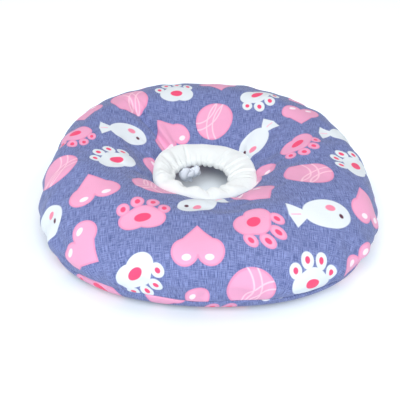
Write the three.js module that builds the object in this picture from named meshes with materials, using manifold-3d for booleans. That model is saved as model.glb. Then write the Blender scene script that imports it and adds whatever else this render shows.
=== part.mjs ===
// A soft Elizabethan collar for a cat: a padded ring with a printed cotton cover, a lower cotton panel
// sewn to it at the rim, and a white plush neck cuff gathered on an elastic drawcord with a knot.
// It lies on a flat surface with the cuff up. Millimetres and degrees, +Z up, the front towards -Y.

import * as THREE from "three";
import { mergeVertices } from "three/addons/utils/BufferGeometryUtils.js";
import Module from "manifold-3d";

const wasm = await Module();
wasm.setup();

// Padded ring
const rimRadius = 154; // neck axis to the widest line of the ring, averaged all round
const ringHeight = 60.5; // surface to the crest, averaged all round
const rimSeamHeight = 14; // where the two cotton panels are sewn together
const rimSeamInset = 2.4; // how far that seam pulls in from the widest line
const puckerDepth = 2; // how far the seam's puckers pull the cover in

// Lower panel
const restWidth = 44; // the flattened band that carries the collar
const rimRise = 20; // from the widest line in to that band
const cottonThickness = 1.6; // the cotton with its thin backing

// Neck cuff
const neckSeamRadius = 44.7; // where both panels and the cuff are sewn together
const neckSeamHeight = 21; // underside of that seam
const neckSeamDepth = 6; // from there up to the upper panel's edge
const cuffRise = 11; // from the upper panel's edge to the top of the rolled cuff
const cuffFootDrop = 2; // how far the cuff's allowance hangs below the seam
const cuffRoll = 16.1; // from the neck seam in to the middle of the gathered hem
const hemDrop = 1; // middle of the hem below the upper panel's edge
const plushThickness = 2;
const cuffFoldDepth = 1.3;
const gatherDepth = 1.3;

// Drawcord
const cordRadius = 1.6;
const knotAngle = 121; // where the knot hangs, counted from +X
const knotDip = 36; // how far below level it leans on the hem, degrees
const largeLobe = { along: 12.6, across: 11 };
const smallLobe = { along: 10.4, across: 9.2 };
const lobeSpacing = 10.6;
const tailLength = 7.5;
const tailShift = 1; // from the middle of the knot towards the large lobe

// Gaps
const seamGap = 0.3; // between pieces that are sewn together
const channelGap = 0.45; // between the drawcord and its hem

// How far the middle of the neck seam lies from the middle of the rim, and the hem's from the neck seam's.
const neckOffset = new THREE.Vector2(-1.4, -3.2);
const hemOffset = new THREE.Vector2(-3, -2.4);

// Slow waves round the collar. A share is a part of the size that the wave acts on.
const rimWaves = [
  { lobes: 2, share: 0.04, peak: 98 },
  { lobes: 3, share: 0.027, peak: 88 },
  { lobes: 4, share: 0.025, peak: 45 },
];
const neckWaves = [
  { lobes: 2, share: 0.012, peak: 0 },
  { lobes: 4, share: 0.022, peak: 45 },
];
const heightWaves = [
  { lobes: 1, share: 0.058, peak: 133 },
  { lobes: 2, share: 0.016, peak: 0 },
];
const puckerWaves = [
  { lobes: 20, share: 0.55, peak: 4 },
  { lobes: 13, share: 0.45, peak: 17 },
];
const cuffRiseWaves = [{ lobes: 1, share: 0.3, peak: 240 }];
const cuffFoldWaves = [
  { lobes: 13, share: 0.6, peak: 9 },
  { lobes: 8, share: 0.4, peak: 30 },
];

// The upper panel. out: 0 at the neck seam, 1 at the widest line. up: 0 on the straight line from the
// neck seam to the rim seam, 1 at the height of the crest.
const crownRows = [
  { out: 0.0, up: 0.0 },
  { out: 0.05, up: 0.3 },
  { out: 0.14, up: 0.54 },
  { out: 0.26, up: 0.77 },
  { out: 0.4, up: 0.92 },
  { out: 0.55, up: 1.0 },
  { out: 0.7, up: 0.95 },
  { out: 0.83, up: 0.85 },
  { out: 0.92, up: 0.7 },
  { out: 0.98, up: 0.45 },
  { out: 1.0, up: 0.27 },
];

// Creases of the upper panel that run out from the cuff. at and half are degrees, deep is a share of
// the ring's height, and until is the out column above.
const creases = [
  { at: 12, half: 12, deep: 0.03, until: 0.42 },
  { at: 47, half: 11, deep: 0.04, until: 0.5 },
  { at: 96, half: 12, deep: 0.03, until: 0.4 },
  { at: 134, half: 9, deep: 0.085, until: 0.66 },
  { at: 168, half: 12, deep: 0.035, until: 0.4 },
  { at: 203, half: 11, deep: 0.04, until: 0.5 },
  { at: 262, half: 34, deep: 0.04, until: 0.5 },
  { at: 296, half: 12, deep: 0.035, until: 0.6 },
  { at: 345, half: 11, deep: 0.045, until: 0.55 },
];
const creaseStart = 0.12; // the out column where a crease has its full depth

// The rolled cuff from the hem to the neck seam. out: 0 at the hem, 1 at the seam. up: 0 at the upper
// panel's edge, 1 at the top of the cuff. fold: how much of the folds' depth this row has.
const cuffRows = [
  { out: 0.1, up: 0.62, fold: 0.6 },
  { out: 0.4, up: 0.9, fold: 1 },
  { out: 0.74, up: 1.0, fold: 1 },
  { out: 1.02, up: 0.84, fold: 0.7 },
  { out: 1.08, up: 0.5, fold: 0.2 },
];
const hemTurn = { from: -30, to: 150, steps: 3 }; // how far the hem's cloth is turned round the cord
const neckRiseBend = 0.4; // 0: the lower panel rises steeply at the neck seam, 1: at the flat band
const knotTail = { top: 2.2, tip: 1, sunk: 2.5 }; // radii, and how far it starts inside the small lobe

const ringTurns = 80;
const crownSteps = 14;
const underSteps = 3;
const gathers = 24;
const gatherSteps = 4;
const cordTurns = 36;
const cordSides = 6;
const lobeSides = 12;

const radians = THREE.MathUtils.degToRad;
const { clamp, lerp, smoothstep, euclideanModulo } = THREE.MathUtils;
const fullTurn = 2 * Math.PI;
const hemRadius = neckSeamRadius - cuffRoll;
const neckEdgeHeight = neckSeamHeight + neckSeamDepth;
const hemHeight = neckEdgeHeight - hemDrop;
const hemTubeRadius = cordRadius + channelGap + plushThickness;

// Shared by the rings

function wave(waves, angle) {
  let sum = 0;
  for (const { lobes, share, peak } of waves) {
    sum += share * Math.cos(lobes * (angle - radians(peak)));
  }
  return sum;
}

// Where a point of a section at this angle lies. The middle moves from the rim's to the neck seam's
// and on to the hem's.
function place(angle, radius, height) {
  const outward = clamp((radius - neckSeamRadius) / (rimRadius - neckSeamRadius), 0, 1);
  const inward = clamp((neckSeamRadius - radius) / cuffRoll, 0, 1);
  const atNeck = 1 - outward - inward;
  const reach = radius * (1 + outward * wave(rimWaves, angle) + atNeck * wave(neckWaves, angle));
  return new THREE.Vector3(
    neckOffset.x * (1 - outward) + hemOffset.x * inward + reach * Math.cos(angle),
    neckOffset.y * (1 - outward) + hemOffset.y * inward + reach * Math.sin(angle),
    height * (1 + wave(heightWaves, angle)),
  );
}

// The points of a (radius, height) line moved to its right-hand side.
function offsetLine(line, distance) {
  return line.map((point, step) => {
    const ahead = line[Math.min(step + 1, line.length - 1)];
    const behind = line[Math.max(step - 1, 0)];
    const along = ahead.clone().sub(behind).normalize();
    return new THREE.Vector2(point.x + distance * along.y, point.y - distance * along.x);
  });
}

// A closed body of revolution-like sections. sectionAt gives the points at an angle, clockwise, with
// as many points at every angle.
function loftRing(turns, sectionAt) {
  const sections = Array.from({ length: turns }, (_, turn) => sectionAt((fullTurn * turn) / turns));
  const points = sections[0].length;
  const index = [];
  for (let turn = 0; turn < turns; turn++) {
    const here = turn * points;
    const next = ((turn + 1) % turns) * points;
    for (let point = 0; point < points; point++) {
      const after = (point + 1) % points;
      index.push(here + point, next + after, next + point);
      index.push(here + point, here + after, next + after);
    }
  }
  const geometry = new THREE.BufferGeometry();
  geometry.setFromPoints(sections.flat());
  geometry.setIndex(index);
  geometry.computeVertexNormals();
  return geometry;
}

// Padded ring

// The upper panel of a section, from the neck seam over the crest to the rim seam.
function crownLine() {
  const rows = crownRows.map(({ out, up }) => {
    const low = lerp(neckEdgeHeight, rimSeamHeight, out);
    return new THREE.Vector2(lerp(neckSeamRadius, rimRadius, out), lerp(low, ringHeight, up));
  });
  rows.push(new THREE.Vector2(rimRadius - rimSeamInset, rimSeamHeight + 2 * seamGap));
  return new THREE.SplineCurve(rows).getSpacedPoints(crownSteps);
}

// The underside of a section, from the rim seam over the flat band to the neck seam.
function underLine() {
  const bandOuter = rimRadius - rimRise;
  const bandInner = bandOuter - restWidth;
  const line = new THREE.Path();
  line.moveTo(rimRadius - rimSeamInset, rimSeamHeight);
  line.quadraticCurveTo(rimRadius - 2 * rimSeamInset, 0, bandOuter, 0);
  line.lineTo(bandInner, 0);
  const bend = lerp(neckSeamRadius, bandInner, neckRiseBend);
  line.quadraticCurveTo(bend, 0, neckSeamRadius, neckSeamHeight);
  return line.getPoints(underSteps);
}

// How deep the creases cut into the upper panel.
function creaseDepth(angle, radius) {
  const out = (radius - neckSeamRadius) / (rimRadius - neckSeamRadius);
  let depth = 0;
  for (const { at, half, deep, until } of creases) {
    const away = Math.abs(euclideanModulo(angle - radians(at) + Math.PI, fullTurn) - Math.PI);
    const across = 1 - smoothstep(away, 0, radians(half));
    const along = smoothstep(out, 0, creaseStart) * (1 - smoothstep(out, until / 2, until));
    depth += deep * ringHeight * across * along;
  }
  return depth;
}

// How far the rim seam's puckers pull the cover in. near: 1 at the seam, 0 where they end.
function puckerPull(angle, near) {
  return (puckerDepth / 2) * (1 + wave(puckerWaves, angle)) * near;
}

// A point of the underside or of its inner face, with the puckers in its first steps.
function placeUnder(angle, { x, y }, step) {
  return place(angle, x - puckerPull(angle, Math.max(0, 1 - step / underSteps)), y);
}

function paddedRing() {
  const crown = crownLine();
  const bed = offsetLine(underLine(), cottonThickness + seamGap);
  bed[0].y = rimSeamHeight + 2 * seamGap;
  return loftRing(ringTurns, (angle) => {
    const top = crown.map(({ x, y }) => {
      const near = x > lerp(neckSeamRadius, rimRadius, 0.5) ? smoothstep(ringHeight - y, 0, ringHeight) : 0;
      return place(angle, x - puckerPull(angle, near), y - creaseDepth(angle, x));
    });
    const bottom = bed.map((point, step) => placeUnder(angle, point, step));
    return [...top, ...bottom];
  });
}

// Lower panel

function lowerPanel() {
  const outside = underLine();
  const inside = offsetLine(outside, cottonThickness);
  return loftRing(ringTurns, (angle) => {
    const lower = outside.map((point, step) => placeUnder(angle, point, step));
    const upper = inside.map((point, step) => placeUnder(angle, point, step));
    return [...upper.reverse(), ...lower];
  });
}

// Neck cuff

// Points round the drawcord, from under it over the neck's side to its top.
function hemArc(radius) {
  const points = [];
  for (let step = 0; step <= hemTurn.steps; step++) {
    const turned = radians(lerp(360 + hemTurn.from, hemTurn.to, step / hemTurn.steps));
    points.push(new THREE.Vector2(radius * Math.cos(turned), radius * Math.sin(turned)));
  }
  return points.map((point) => point.add(new THREE.Vector2(hemRadius, hemHeight)));
}

// The cuff's roll from the hem to its foot behind the neck seam.
function rollLine(angle) {
  const foot = neckSeamRadius - seamGap;
  const rise = cuffRise * (1 + wave(cuffRiseWaves, angle));
  const foldHeight = cuffFoldDepth * wave(cuffFoldWaves, angle);
  const line = cuffRows.map(({ out, up, fold }) => {
    const height = neckEdgeHeight + up * rise + fold * foldHeight;
    return new THREE.Vector2(lerp(hemRadius, neckSeamRadius, out), height);
  });
  line.push(new THREE.Vector2(foot, neckEdgeHeight));
  line.push(new THREE.Vector2(foot, neckSeamHeight - cuffFootDrop));
  return line;
}

function neckCuff() {
  return loftRing(gathers * gatherSteps, (angle) => {
    const gather = (gatherDepth / 2) * (1 - Math.cos(gathers * angle));
    const roll = rollLine(angle);
    const outside = [...hemArc(hemTubeRadius + gather), ...roll];
    const inside = [...hemArc(cordRadius + channelGap), ...offsetLine(roll, plushThickness)];
    return [...outside, ...inside.reverse()].map(({ x, y }) => place(angle, x, y));
  });
}

// Drawcord and its knot

function drawcord() {
  return loftRing(cordTurns, (angle) => {
    const section = new THREE.Path();
    section.absarc(hemRadius, hemHeight, cordRadius, 0, -fullTurn, true);
    return section.getSpacedPoints(cordSides).slice(1).map(({ x, y }) => place(angle, x, y));
  });
}

function solidOf(geometry) {
  geometry.deleteAttribute("normal");
  geometry.deleteAttribute("uv");
  const merged = mergeVertices(geometry);
  const mesh = new wasm.Mesh({
    numProp: 3,
    vertProperties: merged.attributes.position.array,
    triVerts: new Uint32Array(merged.index.array),
  });
  return new wasm.Manifold(mesh);
}

function geometryOf(solid) {
  const { vertProperties, triVerts } = solid.getMesh();
  const geometry = new THREE.BufferGeometry();
  geometry.setAttribute("position", new THREE.BufferAttribute(vertProperties, 3));
  geometry.setIndex(new THREE.BufferAttribute(triVerts, 1));
  geometry.computeVertexNormals();
  return geometry;
}

function knotLobe({ along, across }, shift) {
  const lobe = new THREE.SphereGeometry(0.5, lobeSides, lobeSides / 2);
  lobe.scale(across, along, across);
  lobe.translate(-across / 2, shift, 0);
  return solidOf(lobe);
}

// The two cord ends tied together, leaning on the hem from inside. Before it is turned into place the
// hem is towards +X.
function drawcordKnot() {
  const tail = new THREE.CylinderGeometry(knotTail.top, knotTail.tip, tailLength, lobeSides);
  tail.rotateX(Math.PI / 2);
  tail.translate(0, tailShift, knotTail.sunk - (smallLobe.across + tailLength) / 2);
  tail.rotateY(radians(knotDip));
  tail.translate(-smallLobe.across / 2, 0, 0);
  const knot = geometryOf(
    knotLobe(largeLobe, lobeSpacing / 2)
      .add(knotLobe(smallLobe, -lobeSpacing / 2))
      .add(solidOf(tail)),
  );
  const angle = radians(knotAngle);
  const seat = place(angle, hemRadius, hemHeight);
  knot.translate(-(hemTubeRadius + gatherDepth + seamGap), 0, 0);
  knot.rotateY(radians(-knotDip));
  knot.rotateZ(angle);
  knot.translate(seat.x, seat.y, seat.z);
  return knot;
}

const denim = { color: 0x717fb9, roughness: 0.9, metalness: 0 };
const plush = { color: 0xf4f5f7, roughness: 1, metalness: 0 };
const elastic = { color: 0xe9ecf3, roughness: 0.8, metalness: 0 };
const pieces = [
  { name: "padded_ring", geometry: paddedRing(), finish: denim },
  { name: "lower_panel", geometry: lowerPanel(), finish: denim },
  { name: "neck_cuff", geometry: neckCuff(), finish: plush },
  { name: "drawcord", geometry: drawcord(), finish: elastic },
  { name: "drawcord_knot", geometry: drawcordKnot(), finish: elastic },
];

const collar = new THREE.Group();
for (const { name, geometry, finish } of pieces) {
  const mesh = new THREE.Mesh(geometry, new THREE.MeshStandardMaterial(finish));
  mesh.name = name;
  collar.add(mesh);
}

// The origin is under the middle of the whole collar.
const middle = new THREE.Box3().setFromObject(collar).getCenter(new THREE.Vector3());
collar.position.set(-middle.x, -middle.y, 0);

export default collar;
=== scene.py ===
import math

import bmesh
import bpy
import numpy as np
from mathutils import Matrix, Vector


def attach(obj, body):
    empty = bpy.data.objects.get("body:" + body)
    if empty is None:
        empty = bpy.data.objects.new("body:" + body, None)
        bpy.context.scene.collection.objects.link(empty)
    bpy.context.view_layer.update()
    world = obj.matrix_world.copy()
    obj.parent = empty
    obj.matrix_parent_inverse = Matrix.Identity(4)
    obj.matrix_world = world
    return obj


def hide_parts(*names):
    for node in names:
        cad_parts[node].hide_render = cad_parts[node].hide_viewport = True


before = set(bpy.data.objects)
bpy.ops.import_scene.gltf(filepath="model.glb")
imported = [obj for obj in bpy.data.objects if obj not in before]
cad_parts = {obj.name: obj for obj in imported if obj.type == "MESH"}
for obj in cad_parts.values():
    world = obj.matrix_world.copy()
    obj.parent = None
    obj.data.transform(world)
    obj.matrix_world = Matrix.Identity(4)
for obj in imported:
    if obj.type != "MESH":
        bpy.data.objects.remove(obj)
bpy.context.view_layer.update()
scene = bpy.context.scene

# Camera: a 53 mm lens about half a metre away, 35 degrees above the table, straight from the front.
camera = bpy.data.objects.new("camera", bpy.data.cameras.new("camera"))
scene.collection.objects.link(camera)
scene.camera = camera
camera.data.sensor_width = 36
camera.data.lens = 53.2
camera.data.clip_start = 0.01
camera.location = (-0.0058, -0.45878, 0.31714)
camera.rotation_euler = (math.radians(90 - 35.07), 0, 0)

# Padded ring: an upper panel of printed cotton, cut as a flat ring and sewn down at the neck seam and
# the rim seam, over a filling of polyester fibre. It strains over the filling, puckers at the rim seam
# and creases towards the cuff.
neck_radius = 0.0447
hem_radius = 0.0286
rim_radius = 0.154
ring_width = rim_radius - neck_radius
hem_inset = neck_radius - hem_radius
ring_height = 0.0605
foot_at_neck = 0.027
foot_at_rim = 0.014
neck_shift_x, neck_shift_y = -0.0014, -0.0032
hem_shift_x, hem_shift_y = -0.003, -0.0024
middle_x, middle_y = 0.000037, 0.004113


def wave(waves, angle):
    """Waves round the collar, each with its lobes, its share and the direction of its peak."""
    return sum(share * np.cos(lobes * (angle - math.radians(peak))) for lobes, share, peak in waves)


def place(angle, radius, height):
    """Where a section's point stands. The middle moves from the rim's to the neck seam's and the hem's."""
    outward = np.clip((radius - neck_radius) / ring_width, 0, 1)
    inward = np.clip((neck_radius - radius) / hem_inset, 0, 1)
    rim = wave([(2, 0.04, 98), (3, 0.027, 88), (4, 0.025, 45)], angle)
    neck = wave([(2, 0.012, 0), (4, 0.022, 45)], angle)
    reach = radius * (1 + outward * rim + (1 - outward - inward) * neck)
    x = neck_shift_x * (1 - outward) + hem_shift_x * inward + reach * np.cos(angle) - middle_x
    y = neck_shift_y * (1 - outward) + hem_shift_y * inward + reach * np.sin(angle) - middle_y
    z = height * (1 + wave([(1, 0.058, 133), (2, 0.016, 0)], angle))
    return np.stack([x, y, z], axis=-1)


def smooth_step(value, start, end):
    t = np.clip((value - start) / (end - start), 0, 1)
    return t * t * (3 - 2 * t)


tuck_angles = np.radians([0, 45, 90, 135, 180, 225, 270, 315])
tuck_depths = np.array([0.0032, 0.0033, 0.0000, 0.0016, 0.0052, 0.0008, 0.0005, 0.0004])


def tucked(angle, radius):
    """Pulled in towards the rim, most at the left, to leave room for the stuffing to swell."""
    tuck = np.interp(angle, tuck_angles, tuck_depths, period=2 * math.pi)
    return radius - tuck * smooth_step(radius, 0.085, 0.15)


def rim_seam(angle, from_seam, reach):
    """Rise of the rim seam, which wanders up and down where the thread puckers it."""
    return 0.0017 * wave([(5, 0.5, 35), (9, 0.5, 4), (16, 0.4, 8)], angle) * np.exp(-from_seam / reach)


def turned_from(angle, direction):
    """Angle from a direction in degrees, between half a turn back and half a turn on."""
    return (angle - math.radians(direction) + math.pi) % (2 * math.pi) - math.pi


def crease(away, width, lip, lip_at):
    """Profile of a crease in the cloth, with a raised lip on one side of it."""
    return lip * np.exp(-(((away - lip_at * width) / width) ** 2)) - np.exp(-((away / width) ** 2))


def spline(points, steps):
    """Evenly spaced points of a smooth curve through the given ones, and how far along each is."""
    points = np.array(points, float)
    last = len(points) - 1
    fine = []
    for i in range(last):
        a, b, c, d = (points[min(max(i + j, 0), last)] for j in (-1, 0, 1, 2))
        for t in np.linspace(0, 1, 40, endpoint=False):
            m, n = (c - a) / 2, (d - b) / 2
            fine.append((2 * b - 2 * c + m + n) * t**3 + (3 * c - 3 * b - 2 * m - n) * t**2 + m * t + b)
    fine = np.array(fine + [points[last]])
    along = np.concatenate([[0], np.cumsum(np.linalg.norm(np.diff(fine, axis=0), axis=1))])
    at = np.linspace(0, along[-1], steps + 1)
    return np.stack([np.interp(at, along, fine[:, k]) for k in range(fine.shape[1])], axis=1), at


def ring_object(name, grid, uv=None):
    """A mesh from points[turn, row], closed both round the collar and round its section."""
    turns, rows = grid.shape[:2]
    turn, row = np.meshgrid(np.arange(turns), np.arange(rows), indexing="ij")
    ahead, after = (turn + 1) % turns, (row + 1) % rows
    near_edge = [turn * rows + row, turn * rows + after]
    far_edge = [ahead * rows + after, ahead * rows + row]
    faces = np.stack(near_edge + far_edge, axis=-1)
    mesh = bpy.data.meshes.new(name)
    mesh.from_pydata(grid.reshape(-1, 3).tolist(), [], faces.reshape(-1, 4).tolist())
    if uv is not None:
        layer = mesh.uv_layers.new(name="flat_cloth")
        corners = np.stack([uv[turn, row], uv[turn, after], uv[ahead, after], uv[ahead, row]], axis=2)
        layer.data.foreach_set("uv", corners.reshape(-1).astype(np.float32))
    mesh.shade_smooth()
    obj = bpy.data.objects.new(name, mesh)
    scene.collection.objects.link(obj)
    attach(obj, "root")
    return obj


def outward_normals(grid):
    along = np.gradient(grid, axis=1)
    around = (np.roll(grid, -1, axis=0) - np.roll(grid, 1, axis=0)) / 2
    normal = np.cross(along, around)
    return normal / np.maximum(np.linalg.norm(normal, axis=-1, keepdims=True), 1e-12)


turns = 288
angles = np.arange(turns) * 2 * math.pi / turns


def laid_flat(flat_radius):
    """Places on the flat cloth, where a panel is a plain ring."""
    around = np.stack([np.cos(angles), np.sin(angles)], axis=-1)
    return flat_radius[None, :, None] * around[:, None, :]


crown_rows = [
    (0, 0), (0.05, 0.3), (0.14, 0.54), (0.26, 0.77), (0.4, 0.92), (0.55, 1),
    (0.7, 0.95), (0.83, 0.85), (0.92, 0.7), (0.98, 0.45), (1, 0.27),
]
crown = []
for out, up in crown_rows:
    foot = foot_at_neck + (foot_at_rim - foot_at_neck) * out
    crown.append((neck_radius + ring_width * out, (1 - up) * foot + up * ring_height))
seam_point = (0.1516, 0.0146)
crown_steps = 46
crown_line, crown_length = spline(crown + [seam_point], crown_steps)
bed = [
    (0.15, 0.0138), (0.1465, 0.0052), (0.138, 0.0026), (0.112, 0.0024),
    (0.09, 0.0026), (0.0745, 0.0052), (0.0585, 0.013), (0.0462, 0.0232),
]
bed_line, _ = spline(bed, 14)
section = np.concatenate([crown_line, bed_line])
angle, radius = np.meshgrid(angles, section[:, 0], indexing="ij")
out = (radius - neck_radius) / ring_width
upper = np.arange(len(section)) <= crown_steps
creases = np.zeros_like(radius)
for at, half, deep, until in [
    (12, 12, 0.03, 0.42), (47, 11, 0.04, 0.5), (96, 12, 0.03, 0.4),
    (134, 9, 0.085, 0.66), (168, 12, 0.035, 0.4), (203, 11, 0.04, 0.5),
    (262, 34, 0.04, 0.5), (296, 12, 0.035, 0.6), (345, 11, 0.045, 0.55),
]:
    away = np.abs(turned_from(angle, at))
    fade = smooth_step(out, 0, 0.12) * (1 - smooth_step(out, until / 2, until))
    creases += deep * ring_height * (1 - smooth_step(away, 0, math.radians(half))) * fade
bed_spacing = 0.003
bed_length = crown_length[-1] + bed_spacing * np.arange(1, len(bed_line) + 1)
along_cloth = np.concatenate([crown_length, bed_length])
from_rim = np.maximum(crown_length[-1] - along_cloth, 0)[None, :] * upper
from_neck = along_cloth[None, :]
seam_rise = rim_seam(angle, np.abs(crown_length[-1] - along_cloth), 0.008)
height = section[:, 1] - creases * upper + seam_rise
base = place(angle, tucked(angle, radius), height)

puffed = base.copy()
frames_to_swell = 20
most_swell = 0.002
stuffed = ring_object("padded_ring_cover", base)
pins = stuffed.vertex_groups.new(name="sewn")
row_number = np.arange(len(section))
held = np.broadcast_to((row_number >= crown_steps) | (row_number <= 1), radius.shape)
pins.add([int(i) for i in np.flatnonzero(held.reshape(-1))], 1, "REPLACE")
cloth = stuffed.modifiers.new("stuffing", "CLOTH")
cloth.settings.quality = 5
cloth.settings.mass = 0.3
cloth.settings.tension_stiffness = 15
cloth.settings.compression_stiffness = 15
cloth.settings.shear_stiffness = 5
cloth.settings.bending_stiffness = 0.5
cloth.settings.shrink_min = -0.03
cloth.settings.vertex_group_mass = "sewn"
cloth.settings.use_pressure = True
cloth.settings.uniform_pressure_force = 4
cloth.settings.effector_weights.gravity = 0
cloth.collision_settings.use_collision = False
for step in range(1, frames_to_swell + 1):
    scene.frame_set(step)
swollen = stuffed.evaluated_get(bpy.context.evaluated_depsgraph_get()).to_mesh()
moved = np.empty(len(swollen.vertices) * 3)
swollen.vertices.foreach_get("co", moved)
stuffed.modifiers.remove(cloth)
scene.frame_set(1)
normal = outward_normals(base)
swell = ((moved.reshape(base.shape) - base) * normal).sum(-1)
swell -= swell.mean(0)
puffed = base + np.clip(swell, -most_swell, most_swell)[..., None] * normal
bpy.data.objects.remove(stuffed)

flat_neck_radius = 0.0473
uv = laid_flat(flat_neck_radius + along_cloth)
relief = np.zeros_like(radius)
for puckers, wander, depth, reach in [
    (61, 0.9, 0.0009, 0.007), (34, 1.7, 0.0012, 0.013), (19, 2.6, 0.0008, 0.022),
]:
    phase = puckers * angle + 1.3 * np.sin(5 * angle + wander) + 0.9 * np.sin(11 * angle + 2 * wander)
    uneven = 0.6 + 0.4 * np.sin(4 * angle + 3 * wander)
    relief += depth * uneven * np.cos(phase) * (from_rim / reach) * np.exp(1 - from_rim / reach)
for at, width, depth, start, end in [
    (134, 0.003, 0.0042, 0.008, 0.092), (12, 0.005, 0.0009, 0.008, 0.05),
    (345, 0.004, 0.0009, 0.01, 0.055), (203, 0.0045, 0.0008, 0.008, 0.05),
    (47, 0.005, 0.0008, 0.008, 0.045), (296, 0.005, 0.0007, 0.01, 0.06),
    (168, 0.005, 0.0007, 0.008, 0.04), (96, 0.005, 0.0006, 0.006, 0.04),
]:
    away = turned_from(angle, at) * radius
    fade = smooth_step(from_neck, 0, start) * (1 - smooth_step(from_neck, end / 2, end))
    relief += depth * fade * crease(away, width, 0.7, -1.5)
for toward, length, depth, start in [
    (20, 0.047, 0.00035, 0.4), (75, 0.039, 0.0003, 2.1),
    (128, 0.055, 0.0004, 4.0), (160, 0.033, 0.00025, 1.2),
]:
    along_wave = uv[..., 0] * math.cos(math.radians(toward)) + uv[..., 1] * math.sin(math.radians(toward))
    ripple = np.sin(2 * math.pi * along_wave / length + start)
    relief += depth * ripple * upper * smooth_step(from_rim, 0, 0.02)
puffed = puffed + relief[..., None] * outward_normals(base)
ring = ring_object("padded_ring_cover", puffed, uv)
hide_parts("padded_ring")
smoothing = ring.modifiers.new("one subdivision", "SUBSURF")
smoothing.levels = smoothing.render_levels = 1


class Term:
    """A value in a material's node tree, so that a formula reads as one."""

    def __init__(self, tree, value):
        self.tree, self.value = tree, value

    def node(self, operation, *others):
        node = self.tree.nodes.new("ShaderNodeMath")
        node.operation = operation
        for entry, term in zip(node.inputs, (self, *others)):
            if isinstance(term, Term):
                self.tree.links.new(term.value, entry)
            else:
                entry.default_value = term
        return Term(self.tree, node.outputs[0])

    def __add__(self, other):
        return self.node("ADD", other)

    def __sub__(self, other):
        return self.node("SUBTRACT", other)

    def __mul__(self, other):
        return self.node("MULTIPLY", other)

    def __abs__(self):
        return self.node("ABSOLUTE")

    def larger(self, other):
        return self.node("MAXIMUM", other)

    def smaller(self, other):
        return self.node("MINIMUM", other)

    def sin(self):
        return self.node("SINE")

    def cos(self):
        return self.node("COSINE")

    def floor(self):
        return self.node("FLOOR")

    def modulo(self, other):
        return self.node("FLOORED_MODULO", other)

    def is_number(self, number):
        return self.node("COMPARE", number, 0.1)

    def blended(self, other, width):
        return self.node("SMOOTH_MIN", other, width)


def length_of(x, y):
    return (x * x + y * y).node("SQRT")


def oval(x, y, at_x, at_y, half_x, half_y):
    """Distance in mm from the edge of an oval, less inside."""
    mean = math.sqrt(half_x * half_y)
    return (length_of((x - at_x) * (1 / half_x), (y - at_y) * (1 / half_y)) - 1) * mean


def strand(x, y, at_x, at_y, radius):
    """Distance in mm from the edge of a strand of yarn 1 mm wide that bends round a point."""
    return abs(length_of(x - at_x, y - at_y) - radius) - 0.5


def inside(distance, soft=0.35):
    """1 inside an edge and 0 outside it."""
    return (distance * (-0.5 / soft) + 0.5).larger(0).smaller(1)


def mixed(tree, amount, first, second):
    node = tree.nodes.new("ShaderNodeMix")
    node.data_type = "RGBA"
    tree.links.new(amount.value, node.inputs["Factor"])
    for entry, colour in zip([i for i in node.inputs if i.type == "RGBA"], (first, second)):
        if isinstance(colour, tuple):
            entry.default_value = (*colour, 1)
        else:
            tree.links.new(colour, entry)
    return next(i for i in node.outputs if i.type == "RGBA")


def noise_of(tree, vector, scale, detail):
    node = tree.nodes.new("ShaderNodeTexNoise")
    node.inputs["Scale"].default_value = scale
    node.inputs["Detail"].default_value = detail
    tree.links.new(vector, node.inputs["Vector"])
    return Term(tree, node.outputs["Fac"])


def stretched(tree, vector, scale):
    node = tree.nodes.new("ShaderNodeVectorMath")
    node.operation = "MULTIPLY"
    tree.links.new(vector, node.inputs[0])
    node.inputs[1].default_value = scale
    return node.outputs[0]


def bumped(tree, shader, height, distance, strength):
    node = tree.nodes.new("ShaderNodeBump")
    node.inputs["Distance"].default_value = distance
    node.inputs["Strength"].default_value = strength
    tree.links.new(height.value, node.inputs["Height"])
    tree.links.new(node.outputs["Normal"], shader.inputs["Normal"])


# The cotton's ground is a denim-blue melange. Its print has paws, hearts, fish and balls of yarn, in
# rows that are turned a little and stand head up and head down by turns.
denim_dark, denim_light = (0.080, 0.108, 0.275), (0.245, 0.295, 0.575)
pink_edge, pink_fill = (0.81, 0.285, 0.485), (0.82, 0.37, 0.572)
print_white = (0.74, 0.80, 0.85)
bean_red = (0.87, 0.075, 0.19)
strand_pink = (0.97, 0.62, 0.74)
gleam_white = (0.95, 0.80, 0.88)
cheek_red = (0.85, 0.25, 0.38)
eye_black = (0.10, 0.02, 0.05)
tail_pink = (0.90, 0.45, 0.6)
column_step, row_step = 54.5, 49.5
turn_of_print = math.radians(24)

cotton = bpy.data.materials.new("printed_cotton")
cotton.use_nodes = True
tree = cotton.node_tree
shader = tree.nodes["Principled BSDF"]
shader.inputs["Roughness"].default_value = 0.85
shader.inputs["Specular IOR Level"].default_value = 0.25
shader.inputs["Sheen Weight"].default_value = 0.15
shader.inputs["Sheen Roughness"].default_value = 0.5
cloth_map = tree.nodes.new("ShaderNodeUVMap")
cloth_map.uv_map = "flat_cloth"
flat = cloth_map.outputs["UV"]
parts = tree.nodes.new("ShaderNodeSeparateXYZ")
tree.links.new(flat, parts.inputs[0])
u, v = Term(tree, parts.outputs["X"]), Term(tree, parts.outputs["Y"])
across = (u * math.cos(turn_of_print) + v * math.sin(turn_of_print) + 0.013) * (1000 / column_step)
upward = (v * math.cos(turn_of_print) - u * math.sin(turn_of_print) + 0.008) * (1000 / row_step)
row = upward.floor()
shifted = across + row.modulo(2) * 0.5
column = shifted.floor()
local_x = (shifted - column - 0.5) * column_step
local_y = (upward - row - 0.5) * row_step
tilt = row.modulo(2) * math.pi + (column * 2.3 + row * 1.7).sin() * 0.45
cosine, sine = tilt.cos(), tilt.sin()
kind = (column + row * 2).modulo(6)
is_fish, is_ball = kind.is_number(1), kind.is_number(3)
is_heart = kind.is_number(2) + kind.is_number(5)
is_paw = kind.is_number(0) + kind.is_number(4)
is_white = kind.is_number(1) + kind.is_number(4)
larger = is_fish * -0.17 + is_ball * -0.13 + 0.93
x = (local_x * cosine + local_y * sine) * larger
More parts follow.
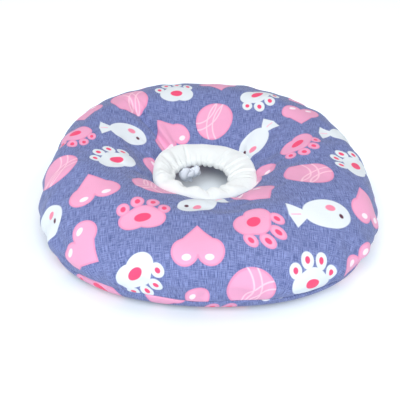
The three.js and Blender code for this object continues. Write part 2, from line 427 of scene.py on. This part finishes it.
y = (local_y * cosine - local_x * sine) * larger
side = abs(x)

palm = oval(side, y, 6, -6, 11.5, 9.5).blended(oval(x, y, 0, 0, 10, 8), 4)
toes = oval(side, y, 5.8, 12.5, 5.0, 6.6).smaller(oval(side, y, 15.2, 4.5, 4.8, 6.0))
paw = palm.smaller(toes)
beans = oval(x, y, 0, -4.5, 6.2, 4.2).smaller(oval(side, y, 5.8, 12.8, 2.0, 2.8))
beans = beans.smaller(oval(side, y, 15.2, 4.7, 1.9, 2.5))
lobe = oval(side, y, 9.4, 5, 10.6, 10.6)
point = (side * 0.722 - (y + 17.5) * 0.692).larger((side - 9.4) * 0.692 + (y - 5) * 0.722).larger(y - 9)
heart = lobe.smaller(point)
gleams = oval(side, y, 8.6, 9.5, 3.4, 2.2) * is_heart + (is_heart * -9 + 9)
tail = (abs(y) - (x - 6) * 0.75).larger(x - 20 + abs(y) * 0.22)
fish = oval(x, y, -4.5, 0, 15.5, 10.5).smaller(tail)
cheek = oval(x, y, -8, -3.8, 3.2, 2.3)
eye = oval(x, y, -12.5, 2.2, 1.4, 1.6)
tail_line = (abs(y) - 0.45).larger(abs(x - 15.5) - 3)
ball = oval(x, y, 0, 0, 17, 16)
strands = strand(x, y, -20, 6, 22).smaller(strand(x, y, -20, 6, 27.5))
strands = strands.smaller(strand(x, y, 16, -20, 20)).smaller(strand(x, y, 16, -20, 25.5))
motif = paw * is_paw + heart * is_heart + fish * is_fish + ball * is_ball

threads_up = noise_of(tree, stretched(tree, flat, (1, 0.06, 1)), 2300, 0)
threads_across = noise_of(tree, stretched(tree, flat, (0.06, 1, 1)), 2300, 0)
flecks = noise_of(tree, flat, 2600, 1)
weave = (threads_up - 0.5) * 2.0 + (threads_across - 0.5) * 1.5 + (flecks - 0.5) * 1.6 + 0.5
ground = mixed(tree, weave.larger(0).smaller(1), denim_dark, denim_light)
pink = mixed(tree, inside(motif + 1.3, 0.5), pink_edge, pink_fill)
pink = mixed(tree, is_ball * inside(strands, 0.4), pink, strand_pink)
pink = mixed(tree, inside(gleams), pink, gleam_white)
whiteish = mixed(tree, is_fish * inside(cheek), print_white, cheek_red)
whiteish = mixed(tree, is_fish * inside(eye), whiteish, eye_black)
whiteish = mixed(tree, is_fish * inside(tail_line), whiteish, tail_pink)
colour = mixed(tree, is_white, pink, whiteish)
colour = mixed(tree, is_paw * inside(beans), colour, bean_red)
printed = mixed(tree, inside(motif), ground, colour)
tree.links.new(printed, shader.inputs["Base Color"])
bumped(tree, shader, weave, 0.0002, 0.35)
ring.data.materials.append(cotton)

# Lower panel: a flat ring of the same printed cotton, sewn to the rim seam and the neck seam under the
# filling. It rests on the table, and its edge shows as a narrow strip under the rim seam.
flat_rim_radius = 0.166
panel_thickness = 0.0014
under = [
    (0.1516, 0.0140), (0.1513, 0.0105), (0.1497, 0.0065), (0.1465, 0.003), (0.1415, 0.0008),
    (0.134, 0), (0.112, 0), (0.092, 0), (0.081, 0.0007), (0.0725, 0.003),
    (0.0632, 0.0078), (0.0535, 0.0148), (0.0447, 0.021),
]
under_line, under_length = spline(under, 60)
tangent = np.gradient(under_line, axis=0)
tangent /= np.linalg.norm(tangent, axis=1, keepdims=True)
inner_line = under_line + panel_thickness * np.stack([tangent[:, 1], -tangent[:, 0]], axis=1)
panel_section = np.concatenate([under_line, inner_line[::-1]])
angle, radius = np.meshgrid(angles, panel_section[:, 0], indexing="ij")
radius = tucked(angle, radius) - 0.0006 * smooth_step(radius, 0.13, 0.148)
from_seam = np.concatenate([under_length, under_length[::-1]])
height = panel_section[:, 1] + rim_seam(angle, from_seam, 0.005)
panel_grid = place(angle, radius, np.maximum(height, 0))
panel_uv = laid_flat(flat_rim_radius - from_seam) + [0.031, 0.017]
panel = ring_object("lower_panel_cloth", panel_grid, panel_uv)
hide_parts("lower_panel")
panel.data.materials.append(cotton)

# Neck cuff: a sleeve of white plush, sewn round the neck seam, rolled over to the inside and gathered
# on a cord in its hem. The gathers are tight at the hem and run together into soft folds on the roll.
cuff_turns = 600
cuff_angles = np.arange(cuff_turns) * 2 * math.pi / cuff_turns
hem_height = 0.026
hem_tube = 0.00405
plush_thickness = 0.0018
roll_rows = [(0.1, 0.62, 0.6), (0.4, 0.9, 1), (0.74, 1, 1), (1.02, 0.84, 0.7), (1.08, 0.5, 0.2)]
foot_rows = [(0.0444, foot_at_neck), (0.0444, 0.019)]
cuff_steps = 44
cuff_sections = []
for turned in cuff_angles:
    rise = 0.011 * (1 + wave([(1, 0.3, 240)], turned))
    fold = 0.0005 * wave([(13, 0.6, 9), (8, 0.4, 30)], turned)
    bulge = 0
    for at, wide, far in [(214, 20, 0.0029), (270, 26, 0.0041), (326, 20, 0.0029)]:
        bulge += far * math.exp(-(((math.degrees(turned) - at) / wide) ** 2))
    hem = []
    for degrees in (330, 270, 230, 190, 150, 110):
        edge = math.radians(degrees)
        hem.append((hem_radius + hem_tube * math.cos(edge), hem_height + hem_tube * math.sin(edge)))
    roll = []
    for out, up, folded in roll_rows:
        roll_radius = hem_radius + hem_inset * out + bulge * out**3
        roll.append((roll_radius, foot_at_neck + up * rise + folded * fold))
    cuff_sections.append(spline(hem + roll + foot_rows, cuff_steps)[0])
cuff_sections = np.array(cuff_sections)
angle = np.broadcast_to(cuff_angles[:, None], cuff_sections.shape[:2])
outer = place(angle, cuff_sections[..., 0], cuff_sections[..., 1])
normal = outward_normals(outer)
share = np.linspace(0, 1, cuff_steps + 1)[None, :]
far_side = 0.5 + 0.5 * np.sin(angle)
hem_phase = 31 * angle + 0.9 * np.sin(3 * angle + 0.5) + 0.7 * np.sin(7 * angle + 1.9)
uneven = (0.8 + 0.2 * np.sin(5 * angle + 1)) * (0.35 + 0.65 * far_side)
tight = (2 * np.abs(np.cos(hem_phase / 2)) - 1) * uneven
roll_phase = 14 * angle + 0.8 * np.sin(2 * angle + 2) + 0.5 * np.sin(5 * angle)
loose = (1.2 * np.abs(np.cos(roll_phase / 2)) - 0.7) * (1 - 0.85 * far_side)
near_hem = 1 - smooth_step(share, 0.2, 0.45)
on_roll = smooth_step(share, 0.02, 0.12) * (1 - smooth_step(share, 0.45, 0.75))
puff = 0.0009 * tight * near_hem + 0.0027 * loose * on_roll + 0.0002 * smooth_step(share, 0.4, 0.6)
for at, width, depth, start, end in [
    (158, 0.003, 0.0014, 0.3, 0.7), (176, 0.0016, 0.0012, 0.28, 0.6), (205, 0.0018, 0.0012, 0.28, 0.7),
    (26, 0.0013, 0.0014, 0.3, 0.75), (12, 0.0011, 0.001, 0.28, 0.6), (-4, 0.0013, 0.0015, 0.3, 0.8),
    (-22, 0.0013, 0.0011, 0.28, 0.7), (52, 0.0013, 0.0011, 0.3, 0.7), (118, 0.0014, 0.0009, 0.3, 0.65),
    (240, 0.0016, 0.0012, 0.3, 0.6), (300, 0.0015, 0.0012, 0.3, 0.65),
]:
    away = turned_from(angle, at) * cuff_sections[..., 0]
    fade = smooth_step(share, start - 0.08, start + 0.05) * (1 - smooth_step(share, end - 0.2, end))
    puff += depth * fade * crease(away, width, 0.5, 1.6)
outer = outer + puff[..., None] * normal
inner = outer - plush_thickness * outward_normals(outer)
cuff_grid = np.concatenate([outer, inner[:, ::-1]], axis=1)
cuff = ring_object("neck_cuff_plush", cuff_grid)
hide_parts("neck_cuff")

plush = bpy.data.materials.new("white_plush")
plush.use_nodes = True
tree = plush.node_tree
shader = tree.nodes["Principled BSDF"]
shader.inputs["Base Color"].default_value = (0.705, 0.74, 0.745, 1)
shader.inputs["Roughness"].default_value = 1
shader.inputs["Specular IOR Level"].default_value = 0.1
shader.inputs["Sheen Weight"].default_value = 0.5
shader.inputs["Sheen Roughness"].default_value = 0.6
# Painted light: the plush glows faintly bluish white, which lifts its shade towards white.
shader.inputs["Emission Color"].default_value = (0.94, 0.98, 1, 1)
shader.inputs["Emission Strength"].default_value = 0.1
shader.inputs["Subsurface Weight"].default_value = 0.25
shader.inputs["Subsurface Radius"].default_value = (1, 1, 1)
shader.inputs["Subsurface Scale"].default_value = 0.002
where = tree.nodes.new("ShaderNodeTexCoord").outputs["Object"]
pile = noise_of(tree, where, 900, 3)
tufts = noise_of(tree, where, 220, 2)
bumped(tree, shader, pile * 0.5 + tufts * 0.8, 0.0006, 0.6)
cuff.data.materials.append(plush)


# Drawcord and its knot: white elastic cord, hidden in the cuff's hem. Its two ends are tied together in
# a knot that leans on the hem from inside, with a short tail hanging down.
def cord_piece(name, path, thickness, closed):
    """A mesh of round cord along a path, with its radius at each point in thickness."""
    curve = bpy.data.curves.new(name, "CURVE")
    curve.dimensions = "3D"
    curve.bevel_depth = 1
    curve.bevel_resolution = 5
    curve.use_fill_caps = True
    line = curve.splines.new("POLY")
    line.points.add(len(path) - 1)
    line.use_cyclic_u = closed
    for point, place_of_point, radius_there in zip(line.points, path, thickness):
        point.co = (*place_of_point, 1)
        point.radius = radius_there
    shape = bpy.data.objects.new(name, curve)
    scene.collection.objects.link(shape)
    bpy.context.view_layer.update()
    mesh = bpy.data.meshes.new_from_object(shape.evaluated_get(bpy.context.evaluated_depsgraph_get()))
    bpy.data.objects.remove(shape)
    return mesh


knot_direction = math.radians(121)
knot_lean = math.radians(36)
tail_length = 0.0082
knot_mesh = bmesh.new()
for across_y, turned, half_size, thick in [(0.0046, 20, 0.0017, 0.0036), (-0.0052, 75, 0.0011, 0.0029)]:
    steps = np.linspace(0, 2 * math.pi, 60, endpoint=False)
    loop_y = half_size * (np.sin(steps) + 2 * np.sin(2 * steps))
    loop_z = half_size * (np.cos(steps) - 2 * np.cos(2 * steps)) * 0.92
    loop_x = -0.0054 - 0.0017 * np.sin(3 * steps)
    cosine, sine = math.cos(math.radians(turned)), math.sin(math.radians(turned))
    turned_y = across_y + cosine * loop_y - sine * loop_z
    turned_z = sine * loop_y + cosine * loop_z
    path = np.stack([loop_x, turned_y, turned_z], axis=1)
    knot_mesh.from_mesh(cord_piece("knot", path, thick * (1 + 0.06 * np.sin(5 * steps)), True))
steps = np.linspace(0, 1, 12)
down = tail_length * steps
tail_x = -0.0048 - down * math.sin(knot_lean) - 0.0006 * np.sin(3 * steps)
tail_z = -0.0015 - down * math.cos(knot_lean)
path = np.stack([tail_x, 0.001 - 0.0022 * steps**2, tail_z], axis=1)
knot_mesh.from_mesh(cord_piece("knot", path, 0.0031 - 0.0013 * steps**2, False))
knot_data = bpy.data.meshes.new("drawcord_knot_cord")
knot_mesh.to_mesh(knot_data)
knot_data.shade_smooth()
knot = bpy.data.objects.new("drawcord_knot_cord", knot_data)
scene.collection.objects.link(knot)
seat = place(np.array(knot_direction), np.array(hem_radius), np.array(hem_height))
turn = Matrix.Translation(Vector(seat)) @ Matrix.Rotation(knot_direction, 4, "Z")
turn = turn @ Matrix.Rotation(-knot_lean, 4, "Y") @ Matrix.Translation((-0.00565, 0, 0))
knot_data.transform(turn)
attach(knot, "root")
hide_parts("drawcord_knot")
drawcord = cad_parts["drawcord"]

cord_white = bpy.data.materials.new("white_cord")
cord_white.use_nodes = True
tree = cord_white.node_tree
shader = tree.nodes["Principled BSDF"]
shader.inputs["Base Color"].default_value = (0.66, 0.71, 0.80, 1)
shader.inputs["Roughness"].default_value = 0.9
where = tree.nodes.new("ShaderNodeTexCoord").outputs["Object"]
bumped(tree, shader, noise_of(tree, where, 1200, 2), 0.0003, 0.5)
for piece in (drawcord, knot):
    piece.data.materials.clear()
    piece.data.materials.append(cord_white)

# Floor: a white studio sweep. It glows away from the collar and under the opening, so that it is
# washed out there as in the photo, and only a soft shadow stays round the rim.
bpy.ops.mesh.primitive_plane_add(size=8, location=(0, 0, 0))
floor = bpy.context.active_object
floor.name = "floor"
white = bpy.data.materials.new("white_sweep")
white.use_nodes = True
tree = white.node_tree
surface = tree.nodes["Principled BSDF"]
surface.inputs["Base Color"].default_value = (0.56, 0.61, 0.65, 1)
surface.inputs["Roughness"].default_value = 1
surface.inputs["Specular IOR Level"].default_value = 0
surface.inputs["Emission Color"].default_value = (0.90, 0.95, 1, 1)
from_middle = tree.nodes.new("ShaderNodeVectorMath")
from_middle.operation = "LENGTH"
where = tree.nodes.new("ShaderNodeTexCoord").outputs["Object"]
# The painted light is measured from a point a little off the middle, stretched across, so that the painted
# shadow round the rim follows the collar's oval.
around = tree.nodes.new("ShaderNodeMapping")
around.inputs["Location"].default_value = (0.006, 0, 0)
around.inputs["Scale"].default_value = (1.08, 1, 1)
tree.links.new(where, around.inputs["Vector"])
tree.links.new(around.outputs["Vector"], from_middle.inputs[0])
painted_glow = tree.nodes.new("ShaderNodeValToRGB")
painted_glow.color_ramp.interpolation = "EASE"
# Painted light: the first stops paint a pool of light on the floor under the opening. The glow is nothing
# under the collar and rises away from the rim, which paints the width of the soft shadow round it.
for distance, strength in [
    (0.012, 0.22), (0.03, 0.16), (0.044, 0.05), (0.13, 0),
    (0.15, 0.2), (0.172, 0.4), (0.2, 0.6), (0.35, 0.68),
]:
    stop = painted_glow.color_ramp.elements.new(distance)
    stop.color = (strength, strength, strength, 1)
painted_glow.color_ramp.elements.remove(painted_glow.color_ramp.elements[-1])
painted_glow.color_ramp.elements.remove(painted_glow.color_ramp.elements[0])
tree.links.new(from_middle.outputs["Value"], painted_glow.inputs["Fac"])
tree.links.new(painted_glow.outputs["Color"], surface.inputs["Emission Strength"])
floor.data.materials.append(white)

# Backdrop: a low pale wall far behind, all the way round, which carries the floor's white up a little
# in views from low down.
wall_height = 0.5
bpy.ops.mesh.primitive_cylinder_add(
    vertices=96, radius=3.9, depth=wall_height, end_fill_type="NOTHING", location=(0, 0, wall_height / 2)
)
wall = bpy.context.active_object
wall.name = "backdrop"
pale = bpy.data.materials.new("pale_backdrop")
pale.use_nodes = True
surface = pale.node_tree.nodes["Principled BSDF"]
surface.inputs["Base Color"].default_value = (0.6, 0.6, 0.6, 1)
surface.inputs["Roughness"].default_value = 1
surface.inputs["Specular IOR Level"].default_value = 0
surface.inputs["Emission Color"].default_value = (0.95, 0.98, 1, 1)
surface.inputs["Emission Strength"].default_value = 0.65
wall.data.materials.append(pale)

# Light: two large soft lamps, the stronger one high in front, and a dim even light from all round.
world = bpy.data.worlds.new("studio")
scene.world = world
world.use_nodes = True
world.node_tree.nodes["Background"].inputs["Color"].default_value = (1, 1, 1, 1)
world.node_tree.nodes["Background"].inputs["Strength"].default_value = 0.26


def lamp(name, location, width, power):
    light = bpy.data.objects.new(name, bpy.data.lights.new(name, "AREA"))
    scene.collection.objects.link(light)
    light.data.shape = "SQUARE"
    light.data.size = width
    light.data.energy = power
    light.location = location
    aim = Vector((0, 0, 0.02)) - light.location
    light.rotation_euler = aim.to_track_quat("-Z", "Y").to_euler()


lamp("overhead softbox", (0.0, 0.35, 1.3), 0.9, 2)
lamp("front softbox", (-0.1, -0.78, 1.13), 1.0, 19)
scene.view_settings.view_transform = "Standard"
